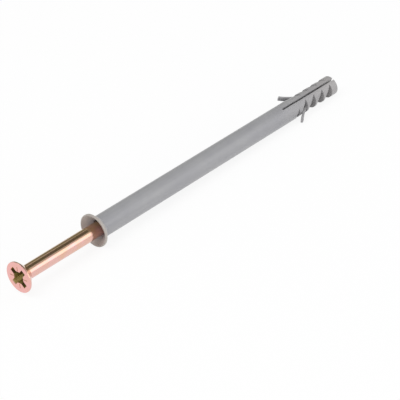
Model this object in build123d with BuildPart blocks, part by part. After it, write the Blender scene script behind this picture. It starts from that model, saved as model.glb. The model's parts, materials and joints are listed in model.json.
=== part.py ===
from build123d import *
import os
from math import acos, asin, atan2, cos, degrees, hypot, radians, sin, tan

# Hammer-in frame fixing, 8 x 120: an expansion sleeve with its nail screw driven part way.
# Millimetres. It lies as it comes to rest on the plane z = 0, on the rim of its collar and near
# the tip of the sleeve. +X runs from the screw's head to that tip, +Z is up, and the origin is
# the bottom centre of the whole fixing's box.

# Sleeve: one moulding for an 8 mm hole, with a countersunk collar at its mouth
sleeve_length = 120.0
tube_diameter = 7.9
tube_end_diameter = 7.4
bore_diameter = 5.6
collar_diameter = 12.2
collar_rim = 0.7
collar_angle = 90.0
collar_edge = 0.15
mouth_diameter = 11.3
countersink_angle = 90.0

# Expansion zone: saw teeth whose steep faces look towards the head
zone_diameter = 7.1
tip_round = 1.0
first_tooth = 2.9
tooth_pitch = 4.31
tooth_count = 5
notch_floor = 1.75
notch_run = 3.7
notch_reach = 71.0
tube_notch_floor = 2.9
tube_notch_run = 1.6
tube_notch_reach = 43.0
barb_notch_run = 2.9
notch_lead = 0.05

# Slit that parts the zone into two halves, and the channel that the screw spreads
slit_length = 27.0
slit_width = 0.7
channel_diameter = 2.2
throat_length = 3.0
throat_margin = 0.5
tip_wall = 5.0

# Barbs: one tongue on each half, curling back towards the head
barb_setback = 0.3
barb_inset = 0.6
barb_lift = 22.0
barb_sweep = 20.0
barb_radius = 19.3
barb_thickness = 0.7
barb_width = 1.6

# Nail screw, standing out of the sleeve by the stroke that is left to drive
screw_stroke = 34.8
shank_clearance = 0.2
seat_gap = 0.02
screw_side = 60.0
head_diameter = 11.4
head_rim = 0.5
head_edge = 0.12
neck_round = 0.8
thread_length = 50.0
thread_core_diameter = 4.5
thread_runout = 1.2
point_length = 5.0
point_flat = 0.8
point_clearance = 0.5

# Cross recess, ISO 4757 type Z, with its four marks
recess_span = 8.0
recess_depth = 4.1
recess_floor_span = 2.2
wing_width = 1.9
wing_floor_width = 1.3
core_width = 4.4
core_floor_width = 2.0
mark_start = 2.4
mark_length = 1.7
mark_width = 0.3
mark_depth = 0.1

# Turn about the axis from the near barb up to one pair of wings
recess_turn = 74.0

tube_radius = tube_diameter / 2
tube_end_radius = tube_end_diameter / 2
bore_radius = bore_diameter / 2
zone_radius = zone_diameter / 2
collar_radius = collar_diameter / 2
mouth_radius = mouth_diameter / 2
head_radius = head_diameter / 2
shank_radius = bore_radius - shank_clearance

# Stations along the sleeve, counted from the face of the collar
seat_end = collar_rim + (collar_radius - tube_radius) / tan(radians(collar_angle / 2))
mouth_depth = (mouth_radius - bore_radius) / tan(radians(countersink_angle / 2))
slit_start = sleeve_length - slit_length
bore_end = slit_start - throat_margin - throat_length
tooth_faces = [sleeve_length - first_tooth - index * tooth_pitch for index in range(tooth_count)]
barb_root = tooth_faces[-2] + barb_setback
barb_end_angle = radians(barb_lift + barb_sweep)
curl_centre = (
    barb_root + barb_radius * sin(radians(barb_lift)),
    zone_radius - barb_inset + barb_radius * cos(radians(barb_lift)),
)
barb_tip = curl_centre[0] - barb_radius * sin(barb_end_angle)
barb_reach = curl_centre[1] - barb_radius * cos(barb_end_angle)

# At rest two rounded edges touch the ground: the back of the collar's rim and the sleeve's tip
rim_touch = collar_rim - collar_edge * tan(radians(collar_angle / 4))
tip_touch = sleeve_length - tip_round
touch_drop = (collar_radius - collar_edge) - (zone_radius - tip_round)
touch_run = tip_touch - rim_touch
lean = acos((tip_round - collar_edge) / hypot(touch_run, touch_drop)) - atan2(touch_run, touch_drop)
axis_height = rim_touch * sin(lean) + (collar_radius - collar_edge) * cos(lean) + collar_edge
tip_end = tip_touch * cos(lean) + (zone_radius - tip_round) * sin(lean) + tip_round

# It has rolled until a corner of the near barb's end touches the ground as well
corner_angle = asin(barb_width / 2 / barb_reach)
barb_roll = asin((axis_height - barb_tip * sin(lean)) / (barb_reach * cos(lean))) - corner_angle

# The screw lies against the bore's wall, low on the side that the fixing has rolled to
screw_offset = shank_clearance - seat_gap
screw_drop = screw_offset * cos(radians(screw_side))
head_end = -screw_stroke * cos(lean) - (screw_drop + head_radius - head_edge) * sin(lean)
recess_roll = radians(recess_turn) - barb_roll

# Section plane at the collar's face: x points along the near barb and z down the sleeve
mouth_plane = Plane(
    origin=(-(head_end + tip_end) / 2, 0, axis_height),
    x_dir=(0, -cos(barb_roll), -sin(barb_roll)),
    z_dir=(cos(lean), 0, -sin(lean)),
)
# Lengthwise plane: x runs down the sleeve and y points along the near barb
long_plane = Plane(mouth_plane.origin, x_dir=mouth_plane.z_dir, z_dir=mouth_plane.y_dir)
fixing_axis = Axis(mouth_plane.origin, mouth_plane.z_dir)
# Section plane at the face of the screw's head: x points along one pair of wings
screw_shift = screw_drop * Vector(-sin(lean), 0, -cos(lean))
screw_shift += screw_offset * sin(radians(screw_side)) * Vector(0, -1, 0)
head_plane = Plane(
    origin=mouth_plane.offset(-screw_stroke).origin + screw_shift,
    x_dir=(0, -cos(recess_roll), sin(recess_roll)),
    z_dir=mouth_plane.z_dir,
)
screw_axis = Axis(head_plane.origin, head_plane.z_dir)


def cut_notch(face, floor, run, reach, top_radius):
    """Cut one notch out of each half: a ramp that falls away from the head to a steep face.

    The floor is how far the foot of the face stays from the axis under the barb. The notch is
    turned about an axis set off far into the other half, so its foot is a flat curve that runs
    out at the angle given as its reach.
    """
    offset_distance = (zone_radius**2 - floor**2) / (2 * (floor - zone_radius * cos(radians(reach))))
    for side in (1, -1):
        turning_point = mouth_plane.origin - mouth_plane.x_dir * side * offset_distance
        with BuildSketch(long_plane) as notch:
            with BuildLine():
                Polyline(
                    (face - run, side * (top_radius + notch_lead)),
                    (face, side * floor),
                    (face, side * collar_radius),
                    (face - run, side * collar_radius),
                    close=True,
                )
            make_face()
        revolve(notch.sketch, axis=Axis(turning_point, mouth_plane.z_dir), mode=Mode.SUBTRACT)


# A skirt turned round the axis, of which two tongues are left: the barbs
with BuildPart() as barbs:
    with BuildSketch(long_plane):
        with BuildLine():
            back = CenterArc(curl_centre, barb_radius, 270 - barb_lift, -barb_sweep)
            belly = CenterArc(curl_centre, barb_radius + barb_thickness, 270 - barb_lift, -barb_sweep)
            Line(back @ 1, belly @ 1)
            Line(back @ 0, belly @ 0)
        make_face()
    revolve(axis=fixing_axis)
    with BuildSketch(mouth_plane):
        Rectangle(4 * (zone_radius + barb_radius), barb_width)
    extrude(amount=sleeve_length, mode=Mode.INTERSECT)


with BuildPart() as expansion_sleeve:
    # Collar, plain tube and the slightly thinner expansion zone
    with BuildSketch(long_plane):
        with BuildLine():
            Polyline(
                (0, 0),
                (0, collar_radius),
                (collar_rim, collar_radius),
                (seat_end, tube_radius),
                (tooth_faces[-1], tube_end_radius),
                (tooth_faces[-1], zone_radius),
                (sleeve_length, zone_radius),
                (sleeve_length, 0),
                close=True,
            )
        outline = make_face()
        fillet(outline.vertices().group_by(Axis.Y)[-1], collar_edge)
        fillet(outline.vertices().sort_by_distance((sleeve_length, zone_radius))[0], tip_round)
    revolve(axis=fixing_axis)

    # Countersunk mouth, bore, throat and the blind channel of the expansion zone
    with BuildSketch(long_plane):
        with BuildLine():
            Polyline(
                (0, 0),
                (0, mouth_radius),
                (mouth_depth, bore_radius),
                (bore_end, bore_radius),
                (bore_end + throat_length, channel_diameter / 2),
                (sleeve_length - tip_wall, channel_diameter / 2),
                (sleeve_length - tip_wall, 0),
                close=True,
            )
        make_face()
    revolve(axis=fixing_axis, mode=Mode.SUBTRACT)

    # Slit across the axis, open at the tip and round at its inner end
    with BuildSketch(long_plane):
        with Locations((slit_start + slit_width / 2 + slit_length / 2, 0)):
            Rectangle(slit_length, slit_width)
        with Locations((slit_start + slit_width / 2, 0)):
            Circle(slit_width / 2)
    extrude(amount=tube_diameter, both=True, mode=Mode.SUBTRACT)

    # Teeth: a shallow notch beside the tube, a short one under the barbs, the rest alike
    cut_notch(tooth_faces[-1], tube_notch_floor, tube_notch_run, tube_notch_reach, tube_end_radius)
    cut_notch(tooth_faces[-2], notch_floor, barb_notch_run, notch_reach, zone_radius)
    for face in tooth_faces[:-2]:
        cut_notch(face, notch_floor, notch_run, notch_reach, zone_radius)

    add(barbs.part)

expansion_sleeve.part.label = "expansion_sleeve"


def sink_pocket(floor_length, floor_width, mouth_length, mouth_width, turn):
    """Sink one tapered rectangular pocket of the cross recess into the head."""
    with BuildSketch(head_plane) as mouth:
        Rectangle(mouth_length, mouth_width, rotation=turn)
    with BuildSketch(head_plane.offset(recess_depth)) as floor:
        Rectangle(floor_length, floor_width, rotation=turn)
    loft([mouth.sketch, floor.sketch], mode=Mode.SUBTRACT)


with BuildPart() as nail_screw:
    # Countersunk head, plain shank, core of the thread and point
    neck = head_rim + (head_radius - shank_radius) / tan(radians(countersink_angle / 2))
    screw_length = screw_stroke + bore_end - point_clearance
    thread_end = screw_length - point_length
    with BuildSketch(Plane(head_plane.origin, x_dir=head_plane.z_dir, z_dir=head_plane.y_dir)):
        with BuildLine():
            Polyline(
                (0, 0),
                (0, head_radius),
                (head_rim, head_radius),
                (neck, shank_radius),
                (thread_end - thread_length, shank_radius),
                (thread_end - thread_length + thread_runout, thread_core_diameter / 2),
                (thread_end, thread_core_diameter / 2),
                (screw_length, point_flat / 2),
                (screw_length, 0),
                close=True,
            )
        outline = make_face()
        fillet(outline.vertices().group_by(Axis.Y)[-1], head_edge)
        fillet(outline.vertices().sort_by_distance((neck, shank_radius))[0], neck_round)
    revolve(axis=screw_axis)

    # Cross recess: two pairs of wings and a square core turned between them
    sink_pocket(recess_floor_span, wing_floor_width, recess_span, wing_width, 0)
    sink_pocket(recess_floor_span, wing_floor_width, recess_span, wing_width, 90)
    sink_pocket(core_floor_width, core_floor_width, core_width, core_width, 45)

    # The four fine marks of a type Z recess, between the wings
    with BuildSketch(head_plane):
        with PolarLocations(mark_start + mark_length / 2, 4, start_angle=45):
            Rectangle(mark_length, mark_width)
    extrude(amount=mark_depth, mode=Mode.SUBTRACT)

nail_screw.part.label = "nail_screw"

os.makedirs("parts", exist_ok=True)
export_step(expansion_sleeve.part, "parts/expansion_sleeve.step")
export_step(nail_screw.part, "parts/nail_screw.step")

print("origin of the mouth", tuple(mouth_plane.origin), "lean", degrees(lean))
print("barb roll", degrees(barb_roll), "recess roll", degrees(recess_roll))
for piece in (expansion_sleeve, nail_screw):
    box = piece.part.bounding_box()
    print(piece.part.label, "solids", len(piece.part.solids()), "volume", round(piece.part.volume, 1))
    print("  from", tuple(box.min), "to", tuple(box.max))
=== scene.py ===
"""Hammer-in frame fixing: a grey nylon sleeve with its zinc-plated nail screw part driven."""
import json
import math

import bpy
import numpy as np
from mathutils import Matrix, Vector


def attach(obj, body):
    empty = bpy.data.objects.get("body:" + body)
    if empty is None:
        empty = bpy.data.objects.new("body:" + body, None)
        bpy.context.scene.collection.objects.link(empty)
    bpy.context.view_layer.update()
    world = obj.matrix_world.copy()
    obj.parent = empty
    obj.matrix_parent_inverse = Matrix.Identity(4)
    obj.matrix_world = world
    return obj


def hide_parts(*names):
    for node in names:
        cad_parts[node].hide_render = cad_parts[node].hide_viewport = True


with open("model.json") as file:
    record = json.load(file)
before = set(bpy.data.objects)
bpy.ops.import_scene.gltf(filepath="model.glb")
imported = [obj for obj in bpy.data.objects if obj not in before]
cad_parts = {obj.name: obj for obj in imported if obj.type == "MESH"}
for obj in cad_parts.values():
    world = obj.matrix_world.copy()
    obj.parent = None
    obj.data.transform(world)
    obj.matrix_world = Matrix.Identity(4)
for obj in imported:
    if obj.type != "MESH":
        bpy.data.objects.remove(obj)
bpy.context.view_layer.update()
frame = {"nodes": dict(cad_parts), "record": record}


# Expansion sleeve. One moulding in grey polyamide 6: tube, countersunk collar and the slit,
# toothed end with its two barbs. It leaves the mould with a fine satin skin. Flow and moisture
# leave faint clouds in the grey. The warm light that the thin collar and teeth let through is
# painted into their colour as a lighter, warmer grey.
def linear(hex_colour):
    """sRGB hex colour to linear RGBA: ((c + 0.055) / 1.055) ** 2.4, or c / 12.92 near black."""
    channels = [int(hex_colour[i:i + 2], 16) / 255 for i in (1, 3, 5)]
    return [c / 12.92 if c <= 0.04045 else ((c + 0.055) / 1.055) ** 2.4 for c in channels] + [1.0]


def add_node(tree, kind, settings=(), **links):
    """Add one shader node with its settings and links.

    A setting goes to the node's property of that name, or else to its socket of that name or
    number. A link gives the (node, output) that feeds a socket: the socket's name with _ for
    each space, or inputN for socket number N.
    """
    node = tree.nodes.new(kind)
    for name, value in dict(settings).items():
        if hasattr(node, str(name)):
            setattr(node, name, value)
        else:
            node.inputs[name].default_value = value
    for name, (source, output) in links.items():
        index = name.removeprefix("input")
        socket = int(index) if index.isdigit() else name.replace("_", " ")
        tree.links.new(source.outputs[output], node.inputs[socket])
    return node


def joined_skin(node, name, material, crease_degrees=30.0):
    """Copy of a CAD node's surface in which equal corners of its loose triangles are one corner.

    Shading runs smoothly over it, as over a turned or moulded surface, and breaks at each edge
    whose two faces differ by more than the crease angle. The shape stays the node's own.
    """
    corners = np.empty((len(node.data.vertices), 3), np.float32)
    node.data.vertices.foreach_get("co", corners.ravel())
    faces = np.empty((len(node.data.polygons), 3), np.int32)
    node.data.polygons.foreach_get("vertices", faces.ravel())
    places, which = np.unique(corners, axis=0, return_inverse=True)
    mesh = bpy.data.meshes.new(name)
    mesh.from_pydata(places.tolist(), [], which.ravel()[faces].tolist())
    mesh.materials.append(material)
    mesh.shade_smooth()
    mesh.set_sharp_from_angle(angle=math.radians(crease_degrees))
    piece = bpy.data.objects.new(name, mesh)
    bpy.context.scene.collection.objects.link(piece)
    return piece


darker_grey, lighter_grey = "#919195", "#9a9a9c"
# Painted light: a lighter, warmer grey painted on the thin collar and teeth for the light they let
# through
painted_glow_grey = "#aaa39d"
nylon_ior = 1.53
skin_sheen = 0.3
skin_sheen_roughness = 0.3
skin_roughness = (0.3, 0.44)
skin_grain_mm = 0.35
skin_grain_depth_mm = 0.035
skin_grain_strength = 0.6
cloud_size_mm = 9.0
streak_width_mm = 1.1
flow_stretch = 0.06
streak_weight = 0.45
cloud_weight = 0.55
grey_noise_span = (0.36, 0.64)
# Where along the sleeve that painted glow comes in, and how strongly at the tip
collar_painted_glow_mm = (-39.8, -41.8)
tip_painted_glow_mm = (46.0, 74.0)
tip_glow_strength = 0.3

# Moulded polyamide: a satin plastic with broad, dull highlights and no clear reflection
sleeve_material = bpy.data.materials.new("moulded_polyamide")
sleeve_material.use_nodes = True
tree = sleeve_material.node_tree
plastic = tree.nodes["Principled BSDF"]
plastic.inputs["IOR"].default_value = nylon_ior
plastic.inputs["Sheen Weight"].default_value = skin_sheen
plastic.inputs["Sheen Roughness"].default_value = skin_sheen_roughness
coords = add_node(tree, "ShaderNodeTexCoord")
clouds = add_node(tree, "ShaderNodeTexNoise",
                  {"Scale": 1000 / cloud_size_mm, "Detail": 2.5, "Roughness": 0.5},
                  Vector=(coords, "Object"))
# Flow lines: the nylon ran along the mould, so its faint streaks are drawn out along the sleeve
flow = add_node(tree, "ShaderNodeVectorMath",
                {"operation": "MULTIPLY", 1: (flow_stretch, 1, 1)}, input0=(coords, "Object"))
streaks = add_node(tree, "ShaderNodeTexNoise",
                   {"Scale": 1000 / streak_width_mm, "Detail": 2.0}, Vector=(flow, "Vector"))
weighed_clouds = add_node(tree, "ShaderNodeMath",
                          {"operation": "MULTIPLY", 1: cloud_weight}, input0=(clouds, "Fac"))
uneven = add_node(tree, "ShaderNodeMath", {"operation": "MULTIPLY_ADD", 1: streak_weight},
                  input0=(streaks, "Fac"), input2=(weighed_clouds, "Value"))
grey_level = add_node(tree, "ShaderNodeMapRange",
                      {"From Min": grey_noise_span[0], "From Max": grey_noise_span[1]},
                      Value=(uneven, "Value"))
greys = add_node(tree, "ShaderNodeMixRGB",
                 {"Color1": linear(darker_grey), "Color2": linear(lighter_grey)},
                 Fac=(grey_level, "Result"))
# Painted light: the thin collar at one end and the teeth at the other are painted lighter and
# warmer by their place along the sleeve, for the light that passes through them
along = add_node(tree, "ShaderNodeSeparateXYZ", Vector=(coords, "Object"))
collar_glow_share = add_node(tree, "ShaderNodeMapRange", {
    "From Min": collar_painted_glow_mm[0] / 1000,
    "From Max": collar_painted_glow_mm[1] / 1000,
}, Value=(along, "X"))
tip_glow_share = add_node(tree, "ShaderNodeMapRange", {
    "From Min": tip_painted_glow_mm[0] / 1000,
    "From Max": tip_painted_glow_mm[1] / 1000,
    "To Max": tip_glow_strength,
}, Value=(along, "X"))
thin_wall_glow_mask = add_node(tree, "ShaderNodeMath", {"operation": "ADD", "use_clamp": True},
                     input0=(collar_glow_share, "Result"), input1=(tip_glow_share, "Result"))
skin_colour = add_node(tree, "ShaderNodeMixRGB", {"Color2": linear(painted_glow_grey)},
                       Fac=(thin_wall_glow_mask, "Value"), Color1=(greys, "Color"))
tree.links.new(skin_colour.outputs["Color"], plastic.inputs["Base Color"])
# The satin of the mould: roughness that wanders a little, and a grain drawn coarse enough to show
satin = add_node(tree, "ShaderNodeMapRange",
                 {"To Min": skin_roughness[0], "To Max": skin_roughness[1]},
                 Value=(uneven, "Value"))
tree.links.new(satin.outputs["Result"], plastic.inputs["Roughness"])
grain = add_node(tree, "ShaderNodeTexNoise",
                 {"Scale": 1000 / skin_grain_mm, "Detail": 1.0}, Vector=(coords, "Object"))
grain_bump = add_node(tree, "ShaderNodeBump",
                      {"Distance": skin_grain_depth_mm / 1000, "Strength": skin_grain_strength},
                      Height=(grain, "Fac"))
tree.links.new(grain_bump.outputs["Normal"], plastic.inputs["Normal"])

sleeve = joined_skin(frame["nodes"]["expansion_sleeve"], "sleeve_moulding", sleeve_material)
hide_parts("expansion_sleeve")
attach(sleeve, "root")


# Nail screw. One piece of cold-headed steel, its shank drawn smooth, then zinc plated and
# passivated. The thin passivation shimmers pink on the flat of the head and a pinkish gold on
# the shank, and it gathers in the recess as an olive brown. Along the top of the shank the
# film's shimmer as seen from above is painted in as a darker, more olive gold.
recess_mount = next(mount for mount in frame["record"]["mounts"]
                    if mount["name"] == "drive_recess")
head_centre = Vector(recess_mount["pos_m"])
screw_line = -Vector(recess_mount["axis"])
screw_lean = math.atan2(-screw_line.z, screw_line.x)
head_pinks = ("#f0b6b4", "#eeb6a8")
shank_pink_golds = ("#e8bab6", "#e3b8a0")
# Painted shimmer: the darker, more olive golds painted along the top of the shank
shank_painted_top_golds = ("#d8b09c", "#d2b48e")
recess_olives = ("#94794a", "#a39c5e")
tint_size_mm = 3.2
tint_noise_span = (0.32, 0.68)
# Height in the screw's frame over which that painted top colour comes in
painted_top_height_mm = (1.2, 2.1)
face_skin_mm = (0.03, 0.25)
recess_reach_mm = 4.45
recess_taper = 0.72
recess_edge_mm = (0.02, 0.25)
polish_mark_mm = 0.25
polish_roughness = (0.1, 0.24)
recess_dullness = 0.26
drawing_line_mm = 0.12
drawing_line_depth_mm = 0.002
drawing_line_strength = 0.3
drawing_stretch = 0.02

# Zinc-plated, passivated steel: a bright metal that mirrors the room in the tint of its film
steel_material = bpy.data.materials.new("zinc_plated_steel")
steel_material.use_nodes = True
tree = steel_material.node_tree
steel = tree.nodes["Principled BSDF"]
steel.inputs["Metallic"].default_value = 1.0
coords = add_node(tree, "ShaderNodeTexCoord")
# The screw's own frame in millimetres: x is the depth below the face of the head
to_screw = Matrix.Rotation(-screw_lean, 3, "Y")
screw_frame = add_node(tree, "ShaderNodeMapping", {
    "vector_type": "POINT",
    "Location": -1000 * (to_screw @ head_centre),
    "Rotation": (0, -screw_lean, 0),
    "Scale": (1000, 1000, 1000),
}, Vector=(coords, "Object"))
place = add_node(tree, "ShaderNodeSeparateXYZ", Vector=(screw_frame, "Vector"))
across = add_node(tree, "ShaderNodeVectorMath", {"operation": "MULTIPLY", 1: (0, 1, 1)},
                  input0=(screw_frame, "Vector"))
radius = add_node(tree, "ShaderNodeVectorMath", {"operation": "LENGTH"}, input0=(across, "Vector"))

# Each place has its own pair of tints, and wanders between the two as the film's thickness does
tint_noise = add_node(tree, "ShaderNodeTexNoise",
                      {"Scale": 1000 / tint_size_mm, "Detail": 3.0, "Roughness": 0.6},
                      Vector=(coords, "Object"))
tint_level = add_node(tree, "ShaderNodeMapRange",
                      {"From Min": tint_noise_span[0], "From Max": tint_noise_span[1]},
                      Value=(tint_noise, "Fac"))
head_tint, pink_gold, painted_olive_gold, recess_tint = [
    add_node(tree, "ShaderNodeMixRGB", {"Color1": linear(first), "Color2": linear(second)},
             Fac=(tint_level, "Result"))
    for first, second in (head_pinks, shank_pink_golds, shank_painted_top_golds, recess_olives)]
# Painted shimmer: along the top of the shank the pinkish gold gives way to a darker, more olive
# one, painted for the colour that the film shows when seen along the top
painted_top_mask = add_node(tree, "ShaderNodeMapRange",
                      {"From Min": painted_top_height_mm[0], "From Max": painted_top_height_mm[1]},
                      Value=(place, "Z"))
shank_tint = add_node(tree, "ShaderNodeMixRGB", Fac=(painted_top_mask, "Result"),
                      Color1=(pink_gold, "Color"), Color2=(painted_olive_gold, "Color"))
# Only the flat of the head is fully pink: that fades over the first quarter of a millimetre
on_face = add_node(tree, "ShaderNodeMapRange", {
    "From Min": face_skin_mm[0],
    "From Max": face_skin_mm[1],
    "To Min": 1.0,
    "To Max": 0.0,
}, Value=(place, "X"))
outer_tint = add_node(tree, "ShaderNodeMixRGB", Fac=(on_face, "Result"),
                      Color1=(shank_tint, "Color"), Color2=(head_tint, "Color"))
# The recess lies inside a cone: radius + taper * depth is less than its reach there
recess_cone = add_node(tree, "ShaderNodeMath", {"operation": "MULTIPLY_ADD", 1: recess_taper},
                       input0=(place, "X"), input2=(radius, "Value"))
within = add_node(tree, "ShaderNodeMath", {"operation": "LESS_THAN", 1: recess_reach_mm},
                  input0=(recess_cone, "Value"))
sunk = add_node(tree, "ShaderNodeMapRange",
                {"From Min": recess_edge_mm[0], "From Max": recess_edge_mm[1]},
                Value=(place, "X"))
in_recess = add_node(tree, "ShaderNodeMath", {"operation": "MULTIPLY"},
                     input0=(within, "Value"), input1=(sunk, "Result"))
full_tint = add_node(tree, "ShaderNodeMixRGB", Fac=(in_recess, "Value"),
                     Color1=(outer_tint, "Color"), Color2=(recess_tint, "Color"))
tree.links.new(full_tint.outputs["Color"], steel.inputs["Base Color"])
# Handling dulls the polish in small marks, and the punched recess is duller still
polish = add_node(tree, "ShaderNodeTexNoise",
                  {"Scale": 1000 / polish_mark_mm, "Detail": 2.0}, Vector=(coords, "Object"))
marked = add_node(tree, "ShaderNodeMapRange",
                  {"To Min": polish_roughness[0], "To Max": polish_roughness[1]},
                  Value=(polish, "Fac"))
dulled = add_node(tree, "ShaderNodeMath", {"operation": "MULTIPLY_ADD", 1: recess_dullness},
                  input0=(in_recess, "Value"), input2=(marked, "Result"))
tree.links.new(dulled.outputs["Value"], steel.inputs["Roughness"])
# Fine lines of the drawing die: a noise stretched along the screw, drawn coarse enough to show
stretched = add_node(tree, "ShaderNodeVectorMath",
                     {"operation": "MULTIPLY", 1: (drawing_stretch, 1, 1)},
                     input0=(screw_frame, "Vector"))
lines = add_node(tree, "ShaderNodeTexNoise", {"Scale": 1 / drawing_line_mm, "Detail": 1.0},
                 Vector=(stretched, "Vector"))
line_bump = add_node(tree, "ShaderNodeBump",
                     {"Distance": drawing_line_depth_mm / 1000, "Strength": drawing_line_strength},
                     Height=(lines, "Fac"))
tree.links.new(line_bump.outputs["Normal"], steel.inputs["Normal"])

screw = joined_skin(frame["nodes"]["nail_screw"], "screw_blank", steel_material)
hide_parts("nail_screw")
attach(screw, "root")


# Rolled thread of the nail screw. Dies press it into the same steel before plating: one
# right-handed start with a slanting lower flank, which slips through the nylon when the screw
# is hammered in and holds when it is pulled. It lies out of sight inside the sleeve.
thread_from_mm = 69.6
thread_to_mm = 118.2
thread_pitch_mm = 2.2
thread_root_mm = 2.12
thread_crest_mm = 2.55
profile_along_mm = np.array([-0.38, -0.24, -0.12, 0.72])
profile_rise = np.array([0.0, 1.0, 1.0, 0.0])
run_in_turns = 0.5
run_out_turns = 1.0
steps_per_turn = 32


def helical_rib(first, last, pitch, root, crest):
    """Corners of the rib in mm from the centre of the head's face: one ring of four per step.

    A ring lies in the half plane from the screw's line outward, and from ring to ring that half
    plane turns right-handed round the line, once in each pitch of depth. A corner's place along
    the line is its ring's depth plus its own offset. Its radius is the root's plus its share of
    the rise to the crest, which grows over the first half turn and shrinks over the last whole one.
    """
    depth = np.linspace(first, last, int((last - first) / pitch * steps_per_turn) + 1)
    fade = np.clip(np.minimum((depth - first) / (run_in_turns * pitch),
                              (last - depth) / (run_out_turns * pitch)), 0, 1)
    corner_depth = depth[:, None] + profile_along_mm[None, :]
    corner_radius = root + (crest - root) * profile_rise[None, :] * fade[:, None]
    turn = 2 * np.pi * depth[:, None] / pitch
    line = np.array(screw_line)
    sideways = np.array([0.0, 1.0, 0.0])
    upright = np.cross(line, sideways)
    outward = np.cos(turn)[..., None] * sideways + np.sin(turn)[..., None] * upright
    return corner_depth[..., None] * line + corner_radius[..., None] * outward


rib = helical_rib(thread_from_mm, thread_to_mm, thread_pitch_mm, thread_root_mm, thread_crest_mm)
points = np.array(head_centre) + rib.reshape(-1, 3) / 1000
# Each quad joins corner k of one ring to corner k + 1, and both ends are closed by a quad
number = np.arange(len(points)).reshape(rib.shape[:2])
after = np.roll(number, -1, axis=1)
sides = np.stack([number[:-1], number[1:], after[1:], after[:-1]], axis=-1).reshape(-1, 4)
ends = np.array([number[0], number[-1][::-1]])
thread_mesh = bpy.data.meshes.new("rolled_thread")
thread_mesh.from_pydata(points.tolist(), [], np.concatenate([sides, ends]).tolist())
thread_mesh.materials.append(steel_material)
thread = bpy.data.objects.new("rolled_thread", thread_mesh)
bpy.context.scene.collection.objects.link(thread)
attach(thread, "root")


# Floor and surround. A white studio table, which ends far out of sight, in a pale even room.
# It is quite matt: it takes the fixing's soft shadow and shows no reflection of it.
floor_size = 4.0
floor_white = "#f8f8f8"
floor_white_share = 0.88
pure_white = "#ffffff"
surround_strength = 0.62

bpy.ops.mesh.primitive_plane_add(size=floor_size)
floor = bpy.context.object
floor.name = "studio_floor"
# White studio floor. Where the camera sees it, straight on or mirrored in the steel, most of it
# is plain white of strength 1. The rest is lit by the lamps, so the shadow on it stays.
floor_material = bpy.data.materials.new("white_studio_floor")
floor_material.use_nodes = True
tree = floor_material.node_tree
matt = tree.nodes["Principled BSDF"]
matt.inputs["Base Color"].default_value = linear(floor_white)
matt.inputs["Roughness"].default_value = 1.0
matt.inputs["Specular IOR Level"].default_value = 0.0
rays = add_node(tree, "ShaderNodeLightPath")
mirrored = add_node(tree, "ShaderNodeMath", {"operation": "ADD"},
                    input0=(rays, "Is Glossy Ray"), input1=(rays, "Is Transmission Ray"))
seen = add_node(tree, "ShaderNodeMath", {"operation": "ADD", "use_clamp": True},
                input0=(rays, "Is Camera Ray"), input1=(mirrored, "Value"))
white_share = add_node(tree, "ShaderNodeMath", {"operation": "MULTIPLY", 1: floor_white_share},
                       input0=(seen, "Value"))
white = add_node(tree, "ShaderNodeEmission", {"Color": linear(pure_white), "Strength": 1.0})
table_top = add_node(tree, "ShaderNodeMixShader", Fac=(white_share, "Value"),
                     input1=(matt, "BSDF"), input2=(white, "Emission"))
tree.links.new(table_top.outputs["Shader"], tree.nodes["Material Output"].inputs["Surface"])
floor.data.materials.append(floor_material)

world = bpy.data.worlds.new("studio_surround")
bpy.context.scene.world = world
world.use_nodes = True
surround = world.node_tree.nodes["Background"]
surround.inputs["Color"].default_value = linear(pure_white)
surround.inputs["Strength"].default_value = surround_strength


# Lights and cards, as polished screws are lit. A wide softbox low in front gives the bright band
# along the shank, one high above the head's end lights the table and the top of the sleeve, and
# a low fill lifts the near side. The steel mirrors two dark cards, one overhead and one behind.
def facing(place):
    """World matrix of a thing that stands at a place and turns its -Z side to the object."""
    turn = (-place).to_track_quat("-Z", "Y").to_matrix().to_4x4()
    return Matrix.Translation(place) @ turn


def softbox(name, place, width, height, radiance):
    """Area light whose face has the given radiance: its power is radiance * pi * area."""
    data = bpy.data.lights.new(name, "AREA")
    data.shape = "RECTANGLE"
    data.size = width
    data.size_y = height
    data.energy = radiance * math.pi * width * height
    lamp = bpy.data.objects.new(name, data)
    lamp.matrix_world = facing(Vector(place))
    bpy.context.scene.collection.objects.link(lamp)


softbox("front_softbox", place=(0.95, -1.15, 0.42), width=1.5, height=1.1, radiance=1.12)
softbox("high_softbox", place=(-0.6, 0.1, 1.35), width=1.2, height=1.2, radiance=1.9)
softbox("low_fill", place=(-0.45, -1.25, 0.26), width=1.3, height=0.6, radiance=1.9)

card_distance = 1.6


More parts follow.
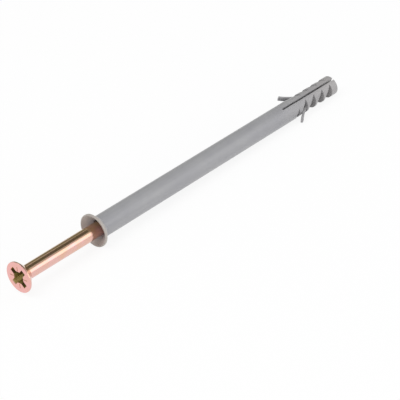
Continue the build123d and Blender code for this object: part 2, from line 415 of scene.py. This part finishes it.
def dark_card(name, direction, width, height, hex_colour):
    """Card square to a direction from the object. Only reflections see it, and it has no shadow."""
    bpy.ops.mesh.primitive_plane_add(size=1)
    card = bpy.context.object
    card.name = name
    place = Vector(direction).normalized() * card_distance
    card.matrix_world = facing(place) @ Matrix.Diagonal((width, height, 1, 1))
    card.visible_diffuse = False
    card.visible_shadow = False
    card.visible_camera = False
    # Grey felt: an even colour with no highlight, the same wherever the softboxes stand
    felt = bpy.data.materials.new(name + "_felt")
    felt.use_nodes = True
    felt_tree = felt.node_tree
    felt_tree.nodes.remove(felt_tree.nodes["Principled BSDF"])
    even = add_node(felt_tree, "ShaderNodeEmission", {"Color": linear(hex_colour), "Strength": 1.0})
    card_face = felt_tree.nodes["Material Output"].inputs["Surface"]
    felt_tree.links.new(even.outputs["Emission"], card_face)
    card.data.materials.append(felt)


dark_card("overhead_card", direction=(0.6, 0.03, 0.8), width=1.1, height=1.3, hex_colour="#6a6a5e")
dark_card("back_card", direction=(0.6, 0.66, 0.42), width=1.3, height=0.9, hex_colour="#8a8f78")


# Camera. It stands at the photograph's viewing angle and looks down the fixing from behind its
# head, a metre off with a long lens, and it is rolled as the photograph is.
view_azimuth = math.radians(41.284)
view_elevation = math.radians(29.573)
view_roll = math.radians(-9.808)
camera_aim = Vector((0.00253, -0.00488, -0.00392))
camera_distance = 1.0345
focal_pixels = 3000.0
image_pixels = 400
sensor_mm = 36.0
forward = Vector((math.sin(view_azimuth) * math.cos(view_elevation),
                  math.cos(view_azimuth) * math.cos(view_elevation), -math.sin(view_elevation)))
camera_place = camera_aim - forward * camera_distance
level_right = Vector((math.cos(view_azimuth), -math.sin(view_azimuth), 0))
level_up = level_right.cross(forward)
right = level_right * math.cos(view_roll) + level_up * math.sin(view_roll)
up = right.cross(forward)
camera_data = bpy.data.cameras.new("camera")
camera_data.sensor_width = sensor_mm
camera_data.lens = focal_pixels / image_pixels * sensor_mm
camera_data.clip_start = 0.01
camera_data.clip_end = 20
camera = bpy.data.objects.new("camera", camera_data)
camera.matrix_world = Matrix((
    (right.x, up.x, -forward.x, camera_place.x),
    (right.y, up.y, -forward.y, camera_place.y),
    (right.z, up.z, -forward.z, camera_place.z),
    (0, 0, 0, 1),
))
bpy.context.scene.collection.objects.link(camera)
bpy.context.scene.camera = camera
bpy.context.scene.view_settings.view_transform = "Standard"
